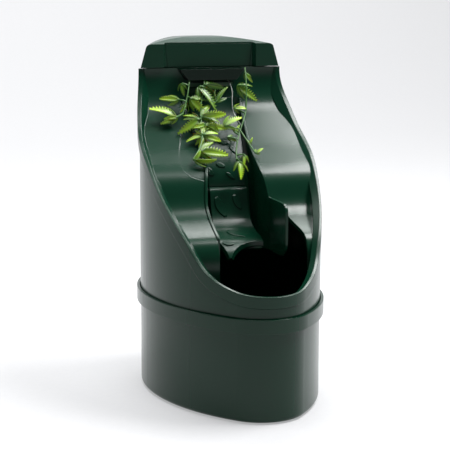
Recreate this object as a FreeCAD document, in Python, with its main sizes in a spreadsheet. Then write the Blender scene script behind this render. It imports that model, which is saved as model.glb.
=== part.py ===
import FreeCAD, Part
import math
import os
import Sketcher

# A pump-fed table-top waterfall in millimetres: +Z up, front towards -Y, right towards +X.
# The origin is the middle of the whole object's footprint, on the surface that it stands on.
# "Forward" distances below are measured from the widest section of the oval plan towards the front.

DIMENSIONS = {
    # oval plan of the tub's outer wall
    "half_width": 47.5,
    "nose_depth": 81.5,
    "nose_radius": 25.0,
    "back_depth": 74.0,
    "back_radius": 32.0,
    # tub
    "foot_proud": 0.6,
    "foot_radius": 5.0,
    "foot_thick": 1.2,
    "tub_floor": 2.0,
    "tub_wall": 1.8,
    "tub_round": 2.2,
    "collar_low": 48.4,
    "collar_ledge": 1.8,
    "collar_top": 56.0,
    "collar_outset": 2.2,
    "collar_wall": 1.6,
    "collar_gap": 0.4,
    # upper housing and its face
    "housing_wall": 1.8,
    "seam_height": 177.5,
    "lip_proud": 1.3,
    "lip_proud_low": 0.4,
    "lip_height": 5.8,
    "lip_back": 1.8,
    "lip_thick": 1.6,
    "rim_inside": 2.5,
    "rim_bevel_across": 3.6,
    "rim_bevel_down": 3.0,
    "rebate": 0.7,
    "face_thick": 1.5,
    "throat_height": 60.0,
    "fit_gap": 0.1,
    "wall_gap": 0.3,
    # water channel
    "channel_half": 19.2,
    "channel_waist": 15.5,
    "channel_wall": 1.4,
    "cascade_half_top": 13.2,
    "cascade_half": 10.7,
    "cascade_flare": 12.4,
    "cascade_thick": 1.6,
    "guard_top": 109.0,
    "guard_bottom": 80.0,
    "guard_reach": 45.5,
    # cap
    "total_height": 194.5,
    "cap_front": 35.0,
    "cap_lean": 6.0,
    "cap_wall": 1.8,
    "cap_round": 2.4,
    "spigot_depth": 5.0,
    "cap_crown": 168.0,
    "visor_half": 26.0,
    "visor_half_low": 24.6,
    "visor_flare": 1.4,
    "visor_depth": 3.4,
    "visor_thick": 1.6,
    "visor_top": 190.6,
    # spout and riser
    "spout_half_top": 19.0,
    "spout_half_low": 14.4,
    "spout_low": 170.4,
    "spout_high": 176.6,
    "spout_wall": 1.0,
    "riser_back": 53.0,
    "riser_bore": 4.5,
    "riser_outer": 6.0,
    "fit_running": 0.05,
    # pump
    "pump_width": 40.0,
    "pump_length": 34.0,
    "pump_tall": 32.0,
    "pump_lift": 5.0,
    "pump_bore": 9.0,
    "pump_bore_depth": 31.5,
    "pump_front": -26.0,
    "cover_length": 10.0,
    "cover_wall": 1.6,
    "cover_slot": 2.0,
    "impeller_radius": 7.6,
    "impeller_length": 13.0,
    "blade_length": 5.0,
    "shaft_radius": 1.1,
    "shaft_length": 24.0,
    "dial_radius": 5.0,
    "dial_thick": 2.2,
    "nozzle_length": 9.0,
    "cup_radius": 7.0,
    # cable grommet
    "grommet_height": 66.0,
    "grommet_radius": 4.2,
    "grommet_bore": 2.6,
    "grommet_flange": 1.3,
    # artificial plant
    "stem_radius": 0.8,
    "leaf_width": 4.6,
    "leaf_thick": 0.8,
}

# Side outlines as (forward, height) points of smooth curves.
RIM = [(-36, 178.5), (-34.5, 168), (-27, 156), (-17, 144.5), (4, 129.5), (18, 117), (47, 90),
       (58, 77.5), (68, 71.5), (90, 67)]
FACE = [(-36, 179), (-36, 166), (-31, 155.5), (-22, 147), (-6, 134), (3, 128), (10, 122.5),
        (14, 116.5), (17, 109), (21, 103), (28, 98), (36, 94), (41.5, 91), (45, 86), (46.5, 78),
        (46.5, 58)]
FACE_BACK = 37.6
LIP_EVEN, LIP_FULL = 112, 140
# The shallow pocket beside the channel's upper left, as (x, forward) points of its edge.
POCKET = [(-21, -20), (-23.4, -14.5), (-26.4, -7), (-28.4, 0.5), (-28.2, 7), (-25.5, 10.4),
          (-21, 12), (-16.5, 13)]
POCKET_DEPTH = 0.6
# How far back and forward the hole for the outlet is cut through the face.
OUTLET_REACH = (-80, -20)
# The bowl's side opening, as (out from the channel, forward) points of its edge.
SIDE_OPENING = [(0, 18), (4.3, 19.5), (8, 27), (10.8, 35.5), (11.3, 48)]
# The concave arc that ends the lower cascade: its middle and its radius.
END_ARC_X, END_ARC_FORWARD, END_ARC_RADIUS = 8, 46.2, 22
UPPER_CASCADE = [(-34, 164), (-28, 151), (-18, 139), (-8, 127), (-3.5, 118.5), (-2.6, 113.5)]
LOWER_CASCADE = [(-2.2, 113), (-0.6, 112.1), (1.2, 107), (4.7, 97.5), (11, 91.5), (18, 88.8),
                 (24, 86.4), (28, 83.2), (31, 79)]
TROUGH = [(-34, 156.5), (-28, 143), (-18, 129), (-9, 116), (-5, 103), (-1, 92), (6, 84), (12, 80)]
CAP_TOP = [(-78, 190), (-66, 193.6), (-56, 194.5), (-49, 194), (-43.5, 192.8), (-38.5, 191.5),
           (-33, 190.4)]

doc = FreeCAD.newDocument("fountain")
sheet = doc.addObject("Spreadsheet::Sheet", "Dimensions")
for row, (alias, value) in enumerate(DIMENSIONS.items(), start=1):
    sheet.set(f"A{row}", alias)
    sheet.set(f"B{row}", str(value))
    sheet.setAlias(f"B{row}", alias)
doc.recompute()

pieces = []


def dim(alias):
    """A driving dimension, read back from the sheet."""
    return float(sheet.get(alias))


# ---------------------------------------------------------------- the shared plan and side view

front_extent = dim("nose_depth") + dim("collar_outset")
back_extent = dim("back_depth") + dim("collar_outset")
widest_y = (front_extent - back_extent) / 2
tub_base = dim("foot_proud")
collar_inner = dim("collar_outset") - dim("collar_wall")
housing_outer = collar_inner - dim("collar_gap")
housing_inner = housing_outer - dim("housing_wall")
housing_base = dim("collar_low") + dim("collar_ledge")
reach = dim("half_width") + 20


def fore(forward):
    """The y of a place that lies so far forward of the widest section."""
    return widest_y - forward


def end_arc_centre(depth, radius):
    return depth - radius


def side_radius(depth, radius):
    """Radius of the side arc that is tangent to an end arc and square to the widest section."""
    centre = end_arc_centre(depth, radius)
    half = dim("half_width")
    return (half ** 2 + centre ** 2 - radius ** 2) / (2 * (half - radius))


def oval(grow, height):
    """The closed plan outline, offset outwards by grow, at a height."""
    half = dim("half_width")
    edges = []
    for sign, depth, radius in ((1, dim("nose_depth"), dim("nose_radius")),
                                (-1, dim("back_depth"), dim("back_radius"))):
        side = side_radius(depth, radius)
        centre = end_arc_centre(depth, radius)
        lean = math.atan2(centre, side - half)
        join_x = (radius + grow) * math.cos(lean)
        join_f = centre + (radius + grow) * math.sin(lean)
        mid = lean / 2
        mid_x = half - side + (side + grow) * math.cos(mid)
        mid_f = (side + grow) * math.sin(mid)
        wide = half + grow
        tip = depth + grow

        def at(x, forward):
            return FreeCAD.Vector(x, fore(sign * forward), height)

        edges.append(Part.Arc(at(wide, 0), at(mid_x, mid_f), at(join_x, join_f)).toShape())
        edges.append(Part.Arc(at(join_x, join_f), at(0, tip), at(-join_x, join_f)).toShape())
        edges.append(Part.Arc(at(-join_x, join_f), at(-mid_x, mid_f), at(-wide, 0)).toShape())
    return Part.Wire(Part.__sortEdges__(edges))


def prism(grow, low, high):
    """A solid of the oval plan between two heights."""
    return Part.Face(oval(grow, low)).extrude(FreeCAD.Vector(0, 0, high - low))


def ring(outer, inner, low, high):
    return prism(outer, low, high).cut(prism(inner, low - 1, high + 1))


def side_curve(points, forward=0.0, up=0.0):
    places = [FreeCAD.Vector(0, fore(f + forward), z + up) for f, z in points]
    curve = Part.BSplineCurve()
    curve.interpolate(places)
    return curve.toShape()


def across(wire, low_x, high_x):
    """A closed side outline drawn out across the object between two x values."""
    flat = Part.Face(wire)
    flat.translate(FreeCAD.Vector(low_x, 0, 0))
    return flat.extrude(FreeCAD.Vector(high_x - low_x, 0, 0))


def under(points, forward=0.0, up=0.0, behind=100.0, floor=-5.0):
    """Everything below and behind a side curve, across the whole width."""
    curve = side_curve(points, forward, up)
    first, last = curve.Vertexes[0].Point, curve.Vertexes[-1].Point
    far = FreeCAD.Vector(0, fore(-behind), first.z)
    low = FreeCAD.Vector(0, fore(-behind), floor)
    fall = FreeCAD.Vector(0, last.y, floor)
    lines = Part.makePolygon([first, far, low, fall, last])
    return across(Part.Wire(Part.__sortEdges__([curve] + lines.Edges)), -reach, reach)


def strip(points, thick, low_x, high_x):
    """A sheet that follows a side curve and hangs below and behind it."""
    upper = side_curve(points)
    lower = side_curve(points, -thick, -thick)
    ends = [Part.makeLine(upper.Vertexes[i].Point, lower.Vertexes[i].Point) for i in (0, -1)]
    return across(Part.Wire(Part.__sortEdges__([upper, lower] + ends)), low_x, high_x)


def plan_prism(outline, low, high):
    """A solid of a plan outline given as (x, forward) corners."""
    corners = [FreeCAD.Vector(x, fore(f), low) for x, f in outline]
    return Part.Face(Part.makePolygon(corners + corners[:1])).extrude(
        FreeCAD.Vector(0, 0, high - low))


def box(low_x, high_x, back, front, low, high):
    """A block between two x values, two forward distances and two heights."""
    return Part.makeBox(high_x - low_x, front - back, high - low,
                        FreeCAD.Vector(low_x, fore(front), low))


def feature(label, shape):
    """A shaped piece of the document, with its own label and placement."""
    piece = doc.addObject("Part::Feature", label)
    piece.Label = label
    piece.Shape = shape.removeSplitter() if shape.ShapeType != "Compound" else shape
    piece.Placement = FreeCAD.Placement()
    pieces.append(piece)
    return piece


# ---------------------------------------------------------------- bound sketches and bodies


def new_body(label, place, rotation=None):
    body = doc.addObject("PartDesign::Body", label)
    body.Label = label
    body.Placement = FreeCAD.Placement(place, rotation or FreeCAD.Rotation())
    pieces.append(body)
    return body


def origin_plane(body, role):
    return next(item for item in body.Origin.OriginFeatures if item.Role == role)


def outline_sketch(body, name, corners, role="XZ_Plane"):
    """A closed outline whose corners are pairs of expressions over the sheet."""
    sketch = body.newObject("Sketcher::SketchObject", name)
    sketch.AttachmentSupport = (origin_plane(body, role), [""])
    sketch.MapMode = "FlatFace"
    values = [tuple(float(sheet_value(text)) for text in corner) for corner in corners]
    count = len(values)
    for index in range(count):
        here, there = values[index], values[(index + 1) % count]
        sketch.addGeometry(Part.LineSegment(FreeCAD.Vector(*here, 0), FreeCAD.Vector(*there, 0)))
    for index in range(count):
        sketch.addConstraint(Sketcher.Constraint("Coincident", index, 2, (index + 1) % count, 1))
    for index, corner in enumerate(corners):
        for kind, text, value in zip(("DistanceX", "DistanceY"), corner, values[index]):
            number = sketch.addConstraint(Sketcher.Constraint(kind, -1, 1, index, 1, value))
            sketch.setExpression(f"Constraints[{number}]", text)
    return sketch


def sheet_value(text):
    """The number that an expression over the sheet gives now."""
    value = sheet.evalExpression(text)
    return value.Value if hasattr(value, "Value") else value


def cell(alias):
    return f"Dimensions.{alias}"


def bound(kind, name, place, rotation=None, **sizes):
    """A Part primitive whose sizes are expressions over the sheet."""
    solid = doc.addObject(f"Part::{kind}", name)
    for size, text in sizes.items():
        solid.setExpression(size, text)
    solid.Placement = FreeCAD.Placement(place, rotation or FreeCAD.Rotation())
    return solid


def carved(label, base, *tools):
    """The base with every tool cut away, each of which must remove something."""
    doc.recompute()
    for number, tool in enumerate(tools, start=1):
        if base.Shape.common(tool.Shape).Volume < 1e-3:
            raise RuntimeError(f"{label}: {tool.Label} cuts nothing")
        result = doc.addObject("Part::Cut", f"{label}_{number}")
        result.Base = base
        result.Tool = tool
        doc.recompute()
        base = result
    return finished(label, base)


def joined(label, *parts):
    result = doc.addObject("Part::MultiFuse", f"{label}_joined")
    result.Shapes = list(parts)
    doc.recompute()
    return finished(label, result)


def finished(label, piece):
    piece.Label = label
    if piece not in pieces:
        pieces.append(piece)
    return piece


def revolved(label, place, corners, rotation=None):
    """A turned piece: corners are (radius, height) expressions about the local Z axis."""
    body = new_body(label, place, rotation)
    sketch = outline_sketch(body, f"{label}_profile", corners)
    turn = body.newObject("PartDesign::Revolution", f"{label}_turn")
    turn.Profile = sketch
    turn.ReferenceAxis = (sketch, ["V_Axis"])
    turn.Angle = 360
    doc.recompute()
    return body


# ---------------------------------------------------------------- tub, feet and housing


def tub_shape():
    body = prism(0, tub_base, housing_base)
    bottom = [edge for edge in body.Edges
              if all(abs(v.Z - tub_base) < 1e-6 for v in edge.Vertexes)]
    body = body.makeFillet(dim("tub_round"), bottom)
    body = body.fuse(prism(dim("collar_outset"), dim("collar_low"), dim("collar_top")))
    body = body.cut(prism(-dim("tub_wall"), tub_base + dim("tub_floor"), housing_base + 1))
    body = body.cut(prism(collar_inner, housing_base, dim("collar_top") + 1))
    for _, x, forward in foot_places():
        seat = Part.makeCylinder(dim("foot_radius") + dim("fit_gap"), dim("foot_thick"),
                                 FreeCAD.Vector(x, fore(forward), 0))
        body = body.cut(seat)
    return body


def foot_places():
    """Name, x and forward distance of each rubber pad."""
    in_from_edge = 3 * dim("foot_radius")
    side = dim("half_width") - in_from_edge
    return (("foot_front", 0, dim("nose_depth") - in_from_edge),
            ("foot_back", 0, in_from_edge - dim("back_depth")),
            ("foot_left", -side, 0),
            ("foot_right", side, 0))


feature("base_tub", tub_shape())
foot_chamfer = "0.3"
for name, foot_x, foot_forward in foot_places():
    revolved(name, FreeCAD.Vector(foot_x, fore(foot_forward), 0), [
        ("0", "0"),
        (f"{cell('foot_radius')} - {foot_chamfer}", "0"),
        (cell("foot_radius"), foot_chamfer),
        (cell("foot_radius"), cell("foot_thick")),
        ("0", cell("foot_thick"))])

rim_wall_drop = dim("lip_thick")
rebate_gap = 0.1


def housing_shape():
    wall = ring(housing_outer, housing_inner, housing_base, dim("seam_height"))
    wall = wall.common(under(RIM, -rim_wall_drop, -rim_wall_drop))
    lip_seat = ring(housing_outer + 1, housing_outer - dim("rebate"), housing_base,
                    dim("seam_height") + 1)
    lip_seat = lip_seat.cut(under(RIM, -dim("lip_back") - rebate_gap, -dim("lip_height") - rebate_gap))
    wall = wall.cut(lip_seat.common(box(-reach, reach, -FACE_BACK - rebate_gap, 2 * reach,
                                        housing_base, dim("seam_height") + 1)))
    back = -dim("back_depth") - housing_outer
    hole = Part.makeCylinder(dim("grommet_radius"), 2 * dim("housing_wall") + 4,
                             FreeCAD.Vector(0, fore(back) + 2, dim("grommet_height")),
                             FreeCAD.Vector(0, -1, 0))
    return wall.cut(hole)


feature("upper_housing", housing_shape())

# ---------------------------------------------------------------- face, channel and cascade

channel_back = -34.0
channel_open = 60.0
left_wall_front = 41.5
channel_low = 62.0
channel_head_drop = 8.0
CHANNEL_EDGE = [(1.2, -34), (2.6, -20), (3.7, -6), (3.5, 3), (2.4, 11), (0.4, 17), (0, 22)]


def channel_plan(shrink, left_front, right_front, low, high):
    """The plan of the water channel, narrower at its waist, as a solid."""
    half = dim("channel_half") - shrink
    pull = (dim("channel_half") - dim("channel_waist")) / max(inset for inset, _ in CHANNEL_EDGE)
    edges = []
    ends = []
    for sign, front in ((-1, left_front), (1, right_front)):
        places = [FreeCAD.Vector(sign * (half - pull * inset), fore(f), low)
                  for inset, f in CHANNEL_EDGE]
        curve = Part.BSplineCurve()
        curve.interpolate(places)
        tip = FreeCAD.Vector(sign * half, fore(front), low)
        edges += [curve.toShape(), Part.makeLine(places[-1], tip)]
        ends.append((places[0], tip))
    edges.append(Part.makeLine(ends[0][0], ends[1][0]))
    edges.append(Part.makeLine(ends[0][1], ends[1][1]))
    outline = Part.Wire(Part.__sortEdges__(edges))
    return Part.Face(outline).extrude(FreeCAD.Vector(0, 0, high - low))


def spout_block(grow, back, front):
    """The trapezoid box of the water outlet, grown all round."""
    low = dim("spout_low") - grow
    high = dim("spout_high") + grow
    corners = [(-dim("spout_half_top") - grow, high), (dim("spout_half_top") + grow, high),
               (dim("spout_half_low") + grow, low), (-dim("spout_half_low") - grow, low)]
    places = [FreeCAD.Vector(x, fore(front), z) for x, z in corners]
    outline = Part.makePolygon(places + places[:1])
    return Part.Face(outline).extrude(FreeCAD.Vector(0, front - back, 0))


def lip_band(low, high):
    """The oval out to the lip's outer face, which stands proud less and less towards the bowl."""
    levels = ((low, "lip_proud_low"), (LIP_EVEN, "lip_proud_low"), (LIP_FULL, "lip_proud"),
              (high, "lip_proud"))
    outlines = [oval(housing_outer + dim(proud), height) for height, proud in levels]
    return Part.makeLoft(outlines, True, True)


def rim_shape(low, high, inner_edge):
    """The rim that caps the housing's wall, with its inner edge bevelled down to the face."""
    thick = dim("face_thick")
    rim = lip_band(low, high).cut(prism(inner_edge, low - 1, high + 1)).common(
        under(RIM).cut(under(FACE, -thick, -thick)))
    rim = rim.common(box(-reach, reach, -FACE_BACK, 2 * reach, low - 1, high + 1))
    crest, outline = side_curve(RIM), oval(inner_edge, 0)
    inner_top = [edge for edge in rim.Edges if follows(edge, crest, outline)]
    rim = rim.Solids[0].makeChamfer(dim("rim_bevel_down"), dim("rim_bevel_across"), inner_top)
    over_wall = dim("lip_thick") - dim("fit_gap")
    wall_space = ring(2 * reach, housing_inner - dim("fit_gap"), low - 1, high + 1).common(
        under(RIM, -over_wall, -over_wall))
    return rim.cut(wall_space)


def follows(edge, crest, outline):
    """Whether an edge runs along both a side curve and a plan outline."""
    span = edge.LastParameter - edge.FirstParameter
    for share in (0.2, 0.5, 0.8):
        spot = edge.valueAt(edge.FirstParameter + share * span)
        from_side = Part.Vertex(FreeCAD.Vector(0, spot.y, spot.z)).distToShape(crest)[0]
        from_plan = Part.Vertex(FreeCAD.Vector(spot.x, spot.y, 0)).distToShape(outline)[0]
        if max(from_side, from_plan) > 0.02:
            return False
    return True


def face_shape():
    low = dim("throat_height")
    high = dim("seam_height") - dim("wall_gap")
    skirt_inner = housing_outer - dim("rebate") + dim("fit_gap")
    inner_edge = housing_inner - dim("fit_gap") - dim("rim_inside")
    thick = dim("face_thick")
    skirt = lip_band(low, high).cut(prism(skirt_inner, low - 1, high + 1)).common(
        under(RIM).cut(under(RIM, -dim("lip_back"), -dim("lip_height"))))
    sheet_part = strip(FACE, thick, -reach, reach).common(
        prism(housing_inner - dim("fit_gap"), low, high))
    sides = skirt.fuse(sheet_part).common(
        box(-reach, reach, -FACE_BACK, 2 * reach, low - 1, high + 1))
    shape = rim_shape(low, high, inner_edge).fuse(sides)
    inside = prism(inner_edge, low - 2, high + 2)
    channel = channel_plan(0, channel_open, channel_open - 1, low - 1, high + 1)
    shape = shape.cut(channel.common(inside))
    shape = shape.cut(side_opening(low - 1, high).common(inside))
    shape = shape.cut(pocket(low, high).cut(under(FACE, -POCKET_DEPTH, -POCKET_DEPTH)))
    return shape.cut(spout_block(dim("fit_gap"), *OUTLET_REACH))


def pocket(low, high):
    """A column over the shallow pocket's plan."""
    places = [FreeCAD.Vector(x, fore(f), low) for x, f in POCKET]
    curve = Part.BSplineCurve()
    curve.interpolate(places)
    corner = FreeCAD.Vector(0, places[-1].y, low)
    top = FreeCAD.Vector(0, places[0].y, low)
    lines = [Part.makeLine(places[-1], corner), Part.makeLine(corner, top),
             Part.makeLine(top, places[0])]
    outline = Part.Wire(Part.__sortEdges__([curve.toShape()] + lines))
    return Part.Face(outline).extrude(FreeCAD.Vector(0, 0, high - low))


def side_opening(low, high):
    """The bowl's opening reaches past the guard, to the right of the channel."""
    edge = dim("channel_half") - 0.5
    places = [FreeCAD.Vector(edge + out, fore(f), low) for out, f in SIDE_OPENING]
    curve = Part.BSplineCurve()
    curve.interpolate(places)
    corner = FreeCAD.Vector(edge, places[-1].y, low)
    lines = [Part.makeLine(places[-1], corner), Part.makeLine(corner, places[0])]
    outline = Part.Wire(Part.__sortEdges__([curve.toShape()] + lines))
    return Part.Face(outline).extrude(FreeCAD.Vector(0, 0, high - low))


feature("face_panel", face_shape())


def guard_block():
    """The free end of the right wall, with its two rounded front corners."""
    block = box(0, reach, 17, dim("guard_reach"), dim("guard_bottom"), dim("guard_top"))
    front_y = fore(dim("guard_reach"))
    for height, radius in ((dim("guard_top"), 5.0), (dim("guard_bottom"), 9.0)):
        corner = [edge for edge in block.Edges
                  if all(abs(v.Z - height) < 1e-3 and abs(v.Y - front_y) < 1e-3
                         for v in edge.Vertexes)]
        block = block.makeFillet(radius, corner)
    return block


def channel_shape():
    gap = dim("fit_gap")
    thick = dim("channel_wall")
    low, high = channel_low, dim("seam_height") - channel_head_drop
    hollow = channel_plan(gap + thick, channel_open + 2, channel_open + 2, low - 1, high + 1)
    below_face = under(FACE, 0.5, 0.5)
    trough_under = under(TROUGH, -thick, -thick)
    walls = channel_plan(gap, left_wall_front, dim("guard_reach"), low, high).cut(hollow)
    side = walls.common(below_face).cut(trough_under)
    side = side.common(box(-reach, reach, channel_back + 1, channel_open, low, high))
    left = side.common(box(-reach, 0, -60, left_wall_front, low, high))
    right = side.common(box(0, reach, -60, 20, dim("guard_bottom"), high))
    guard = walls.common(guard_block())
    floor = strip(TROUGH, thick, -reach, reach).common(
        channel_plan(gap, channel_open, channel_open, low, high))
    floor = floor.common(box(-reach, reach, channel_back + 1, channel_open, low, high))
    return left.fuse([right, guard, floor])


feature("channel_insert", channel_shape())


def cascade_shape(points, outline):
    return strip(points, dim("cascade_thick"), -reach, reach).common(plan_prism(outline, 60, 175))


def upper_cascade_shape():
    wide, narrow = dim("cascade_half_top"), dim("cascade_half")
    return cascade_shape(UPPER_CASCADE, [(-wide, -33), (-wide, -18), (-narrow, -5),
                                         (-narrow, 0), (narrow, 0), (narrow, -5),
                                         (wide, -18), (wide, -33)])


def lower_cascade_shape():
    narrow, flare = dim("cascade_half"), dim("cascade_flare")
    plate = cascade_shape(LOWER_CASCADE, [(-narrow, -6), (-narrow - 0.2, 4), (-flare, 24),
                                          (-flare + 3.6, 31.5), (flare, 31.5), (flare, 24),
                                          (narrow + 0.2, 4), (narrow, -6)])
    end_cut = Part.makeCylinder(END_ARC_RADIUS, dim("seam_height"),
                                FreeCAD.Vector(END_ARC_X, fore(END_ARC_FORWARD), 0))
    return plate.cut(end_cut)


feature("upper_cascade", upper_cascade_shape())
feature("lower_cascade", lower_cascade_shape())


# ---------------------------------------------------------------- cap, visor and spout

recess_back = dim("cap_front") + dim("visor_depth")
cavity_front = recess_back + dim("visor_thick") + dim("cap_wall")
SEAT_PROUD = 0.5
CAP_SIDE, CAP_BACK = 8.0, -62.25
CAP_OVERRUN = 6.0


def leaning(grow, low, high, lean):
    return Part.makeLoft([oval(grow, low), oval(grow - lean, high)], True, True)


def behind(forward, low, high):
    return box(-reach, reach, -150, forward, low, high)


def crown(inside):
    """All that lies under the cap's domed top, or so far inside it."""
    arch = Part.makeCylinder(dim("cap_crown") - inside, 2 * reach,
                             FreeCAD.Vector(0, fore(0), dim("total_height") - dim("cap_crown")),
                             FreeCAD.Vector(0, 1, 0))
    return under(CAP_TOP, 0, -inside).common(arch)


def cap_shape():
    low, high = dim("seam_height"), dim("total_height")
    wall, lean = dim("cap_wall"), dim("cap_lean")
    body = leaning(housing_outer, low, high + CAP_OVERRUN, lean).common(
        behind(-dim("cap_front"), low - 1, high + CAP_OVERRUN)).common(crown(0))
    back_edges = [edge for edge in body.Edges if edge.BoundBox.ZMin > low + CAP_SIDE
                  and edge.BoundBox.YMax > fore(CAP_BACK)]
    body = body.makeFillet(dim("cap_round"), back_edges)
    cavity = leaning(housing_outer - wall, low - 1, high + CAP_OVERRUN, lean).common(
        behind(-cavity_front, low - 2, high)).common(crown(wall))
    body = body.cut(cavity)
    spigot = ring(housing_inner - dim("wall_gap"), housing_inner - dim("wall_gap") - wall,
                  low - dim("spigot_depth"), low + 3).common(
        behind(-cavity_front - 1, low - 10, high))
    wide = dim("visor_half") + dim("visor_flare")
    recess = plan_prism([(-wide, -dim("cap_front") + 0.01), (wide, -dim("cap_front") + 0.01),
                         (dim("visor_half"), -recess_back), (-dim("visor_half"), -recess_back)],
                        low - 1, high + 1)
    return body.fuse(spigot).cut(recess).cut(visor_block(0))


def visor_block(play):
    """The tapered plate across the cap's front, smaller all round by the play."""
    low, high = dim("seam_height"), dim("visor_top")
    wide, narrow = dim("visor_half") - play, dim("visor_half_low") - play
    front = -recess_back + (0 if play else SEAT_PROUD)
    places = [FreeCAD.Vector(x, fore(front), z) for x, z in
              ((-wide, high - play), (wide, high - play), (narrow, low), (-narrow, low))]
    outline = Part.Face(Part.makePolygon(places + places[:1]))
    thick = dim("visor_thick") - play + (0 if play else SEAT_PROUD)
    return outline.extrude(FreeCAD.Vector(0, thick, 0))


feature("top_cap", cap_shape())

feature("visor_plate", visor_block(dim("fit_gap")))

riser_y = fore(-dim("riser_back"))
spout_front = -30.2
spout_slot = 4.8
spout_slot_half = 12.0
spout_back = -dim("riser_back") - dim("riser_outer")
nipple_length = 6.0


def spout_shape():
    wall = dim("spout_wall")
    floor = dim("spout_low")
    nipple = Part.makeCylinder(dim("riser_bore") - dim("fit_running"), nipple_length + wall,
                               FreeCAD.Vector(0, riser_y, floor - nipple_length))
    bore = Part.makeCylinder(dim("riser_bore") - wall, nipple_length + 2 * wall,
                             FreeCAD.Vector(0, riser_y, floor - nipple_length - 1))
    shell = spout_block(0, spout_back, spout_front).fuse(nipple)
    slot = box(-spout_slot_half, spout_slot_half, spout_front - wall - spout_slot,
               spout_front - wall, floor - 1, floor + wall + 1)
    hollow = spout_block(-wall, spout_back + wall, spout_front - wall)
    return shell.cut(hollow).cut(bore).cut(slot)


feature("outlet_spout", spout_shape())

# ---------------------------------------------------------------- pump

pump_low = tub_base + dim("tub_floor") + dim("pump_lift")
pump_mid = pump_low + dim("pump_tall") / 2
pump_top = pump_low + dim("pump_tall")
pump_front = dim("pump_front")
pump_back = pump_front - dim("pump_length")
to_front = FreeCAD.Rotation(FreeCAD.Vector(1, 0, 0), 90)
water_bore = f"{cell('riser_bore')} - {cell('spout_wall')}"


def place(x, forward, height):
    return FreeCAD.Vector(x, fore(forward), height)


block = bound("Box", "pump_block", place(-dim("pump_width") / 2, pump_front, pump_low),
              Length=cell("pump_width"), Width=cell("pump_length"), Height=cell("pump_tall"))
chamber = bound("Cylinder", "impeller_chamber",
                place(0, pump_front - dim("pump_bore_depth"), pump_mid), to_front,
                Radius=cell("pump_bore"), Height=f"{cell('pump_bore_depth')} + 1")
passage = bound("Cylinder", "water_passage", place(0, -dim("riser_back"), pump_mid),
                Radius=water_bore, Height=cell("pump_tall"))
carved("pump_body", block, chamber, passage)

nozzle = bound("Cylinder", "nozzle_tube", place(0, -dim("riser_back"), pump_top),
               Radius=f"{cell('riser_bore')} - {cell('fit_running')}",
               Height=cell("nozzle_length"))
nozzle_bore = bound("Cylinder", "nozzle_bore", place(0, -dim("riser_back"), pump_top - 1),
                    Radius=water_bore, Height=f"{cell('nozzle_length')} + 2")
carved("pump_nozzle", nozzle, nozzle_bore)

riser_low = pump_top + 1.0
riser_high = dim("spout_low") - 0.5
riser = bound("Cylinder", "riser_wall", place(0, -dim("riser_back"), riser_low),
              Radius=cell("riser_outer"), Height=f"{riser_high - riser_low}")
riser_hole = bound("Cylinder", "riser_hole", place(0, -dim("riser_back"), riser_low - 1),
                   Radius=cell("riser_bore"), Height=f"{riser_high - riser_low + 2}")
carved("riser_tube", riser, riser_hole)

# intake cover, with its sponge behind the slots and the flow dial in front
cover_front = pump_front + dim("cover_length")
cover = bound("Box", "cover_block", place(-dim("pump_width") / 2, cover_front, pump_low),
              Length=cell("pump_width"), Width=f"{cell('cover_length')} - {cell('fit_gap')}",
              Height=cell("pump_tall"))
cover_wall = dim("cover_wall")
hollow = bound("Box", "cover_hollow",
               place(cover_wall - dim("pump_width") / 2, cover_front - cover_wall,
                     pump_low + cover_wall),
               Length=f"{cell('pump_width')} - 2 * {cell('cover_wall')}",
               Width=cell("cover_length"),
               Height=f"{cell('pump_tall')} - 2 * {cell('cover_wall')}")
slot_count, slot_step, slot_left = 6, 3.8, -15.0
slots = [bound("Box", f"cover_slot_{index}",
               place(slot_left + index * slot_step, cover_front + 1, pump_low + 5),
               Length=cell("cover_slot"), Width=f"{cell('cover_wall')} + 2",
               Height=f"{cell('pump_tall')} - 10") for index in range(slot_count)]
dial_x = dim("pump_width") / 2 - dim("dial_radius") - 2.0
dial_pin = 1.5
pin_hole = bound("Cylinder", "dial_hole", place(dial_x, cover_front - cover_wall - 1, pump_mid),
                 to_front, Radius=f"{dial_pin} + {cell('fit_running')}",
                 Height=f"{cell('cover_wall')} + 2")
carved("pump_cover", cover, hollow, *slots, pin_hole)

sponge_thick = 5.0
sponge = bound("Box", "pump_sponge",
               place(cover_wall + 0.3 - dim("pump_width") / 2, cover_front - cover_wall - 0.8,
                     pump_low + cover_wall + 0.3),
               Length=f"{cell('pump_width')} - 2 * {cell('cover_wall')} - 0.6",
               Width=f"{sponge_thick}",
               Height=f"{cell('pump_tall')} - 2 * {cell('cover_wall')} - 0.6")
finished("pump_sponge", sponge)

dial_disc = bound("Cylinder", "dial_disc", place(dial_x, cover_front + 0.1, pump_mid), to_front,
                  Radius=cell("dial_radius"), Height=cell("dial_thick"))
dial_stub = bound("Cylinder", "dial_stub", place(dial_x, cover_front - cover_wall, pump_mid),
                  to_front, Radius=f"{dial_pin}", Height=f"{cell('cover_wall')} + 0.5")
dial_grip = bound("Box", "dial_grip",
                  place(dial_x - 0.8, cover_front + dim("dial_thick") + 1.6,
                        pump_mid - dim("dial_radius") + 0.6),
                  Length="1.6", Width="1.8", Height=f"2 * {cell('dial_radius')} - 1.2")
joined("flow_dial", dial_disc, dial_stub, dial_grip)

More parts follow.
